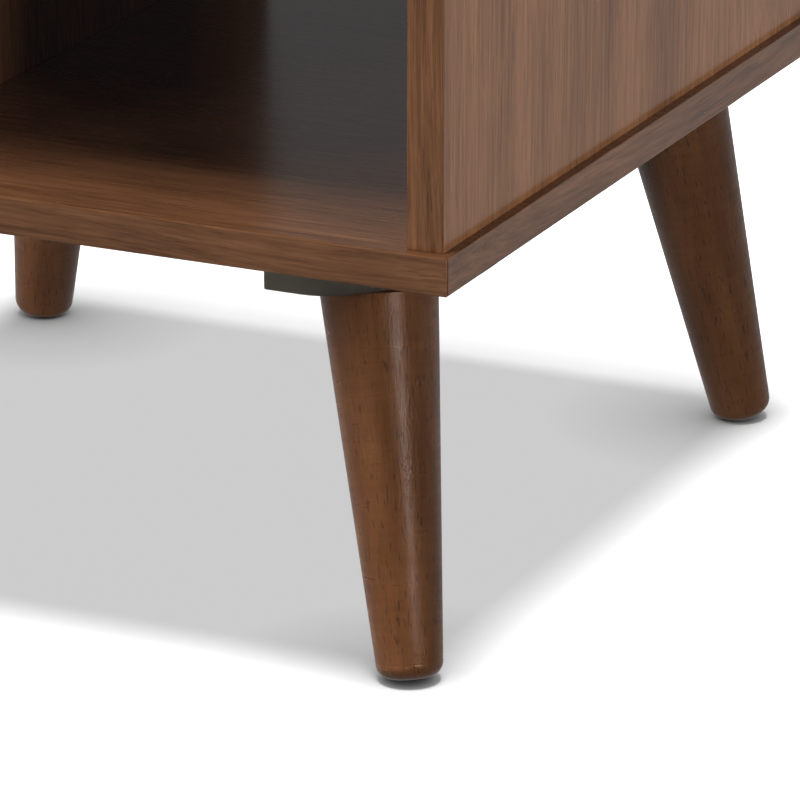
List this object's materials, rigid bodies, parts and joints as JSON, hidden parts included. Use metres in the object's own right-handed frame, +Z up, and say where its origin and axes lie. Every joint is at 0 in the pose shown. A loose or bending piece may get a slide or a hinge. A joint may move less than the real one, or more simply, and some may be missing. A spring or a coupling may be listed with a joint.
{
  "type": "nightstand with drawers",
  "caption": "Square walnut nightstand on tapered splayed legs, with drawers on ball-bearing slides over an open cubby and a narrow book slot.",
  "frame": {"origin": "middle of the bounding box at floor level; the case sits 10 mm back of it because the knobs stand out in front", "axes": "+X to the right as seen from the front, +Y to the back (the drawers open towards -Y), +Z up"},
  "size_m": [0.4, 0.42, 0.6],
  "materials": {
    "walnut_laminate": "satin printed walnut laminate on particle board, fine pores, matching edge band",
    "stained_leg_wood": "solid wood, walnut stain under satin lacquer",
    "knob_wood": "turned solid wood, walnut stain under satin lacquer",
    "drawer_board": "light oak-look foil on particle board",
    "drawer_hardboard": "thin hardboard with a light foil face",
    "plate_plastic": "grey-brown moulded plastic, fine texture",
    "foot_felt": "black felt pad",
    "slide_zinc": "zinc-plated rolled steel",
    "cam_zinc": "die-cast zinc, dull",
    "screw_steel": "zinc-plated steel"
  },
  "bodies": {
    "case": {"top_panel": "walnut_laminate", "bottom_panel": "walnut_laminate", "left_side_panel": "walnut_laminate", "right_side_panel": "walnut_laminate", "shelf_panel": "walnut_laminate", "partition_panel": "walnut_laminate", "back_panel": "walnut_laminate", "left_lower_front_cam": "cam_zinc", "left_lower_rear_cam": "cam_zinc", "left_upper_front_cam": "cam_zinc", "left_upper_rear_cam": "cam_zinc", "right_lower_front_cam": "cam_zinc", "right_lower_rear_cam": "cam_zinc", "right_upper_front_cam": "cam_zinc", "right_upper_rear_cam": "cam_zinc", "partition_front_cam": "cam_zinc", "partition_rear_cam": "cam_zinc", "front_right_leg": "stained_leg_wood", "front_right_leg_plate": "plate_plastic", "front_right_hanger_bolt": "screw_steel", "front_right_foot_pad": "foot_felt", "rear_right_leg": "stained_leg_wood", "rear_right_leg_plate": "plate_plastic", "rear_right_hanger_bolt": "screw_steel", "rear_right_foot_pad": "foot_felt", "rear_left_leg": "stained_leg_wood", "rear_left_leg_plate": "plate_plastic", "rear_left_hanger_bolt": "screw_steel", "rear_left_foot_pad": "foot_felt", "front_left_leg": "stained_leg_wood", "front_left_leg_plate": "plate_plastic", "front_left_hanger_bolt": "screw_steel", "front_left_foot_pad": "foot_felt", "lower_drawer_left_slide_case_member": "slide_zinc", "lower_drawer_right_slide_case_member": "slide_zinc", "upper_drawer_left_slide_case_member": "slide_zinc", "upper_drawer_right_slide_case_member": "slide_zinc"},
    "lower_drawer": {"lower_drawer_front": "walnut_laminate", "lower_drawer_left_side": "drawer_board", "lower_drawer_right_side": "drawer_board", "lower_drawer_back": "drawer_board", "lower_drawer_bottom": "drawer_hardboard", "lower_drawer_knob": "knob_wood", "lower_drawer_knob_screw": "screw_steel", "lower_drawer_left_slide_drawer_member": "slide_zinc", "lower_drawer_right_slide_drawer_member": "slide_zinc"},
    "lower_runners": {"lower_drawer_left_slide_middle_member": "slide_zinc", "lower_drawer_right_slide_middle_member": "slide_zinc"},
    "upper_drawer": {"upper_drawer_front": "walnut_laminate", "upper_drawer_left_side": "drawer_board", "upper_drawer_right_side": "drawer_board", "upper_drawer_back": "drawer_board", "upper_drawer_bottom": "drawer_hardboard", "upper_drawer_knob": "knob_wood", "upper_drawer_knob_screw": "screw_steel", "upper_drawer_left_slide_drawer_member": "slide_zinc", "upper_drawer_right_slide_drawer_member": "slide_zinc"},
    "upper_runners": {"upper_drawer_left_slide_middle_member": "slide_zinc", "upper_drawer_right_slide_middle_member": "slide_zinc"}
  },
  "joints": [
    {"name": "lower_drawer_slide", "type": "slide", "parent": "case", "child": "lower_drawer", "axis": [0, -1, 0], "range_m": [0, 0.28]},
    {"name": "lower_runners_slide", "type": "slide", "parent": "case", "child": "lower_runners", "axis": [0, -1, 0], "range_m": [0, 0.14]},
    {"name": "upper_drawer_slide", "type": "slide", "parent": "case", "child": "upper_drawer", "axis": [0, -1, 0], "range_m": [0, 0.28]},
    {"name": "upper_runners_slide", "type": "slide", "parent": "case", "child": "upper_runners", "axis": [0, -1, 0], "range_m": [0, 0.14]}
  ],
  "couplings": [
    {"joint": "lower_runners_slide", "follows": "lower_drawer_slide", "ratio": 0.5},
    {"joint": "upper_runners_slide", "follows": "upper_drawer_slide", "ratio": 0.5}
  ]
}
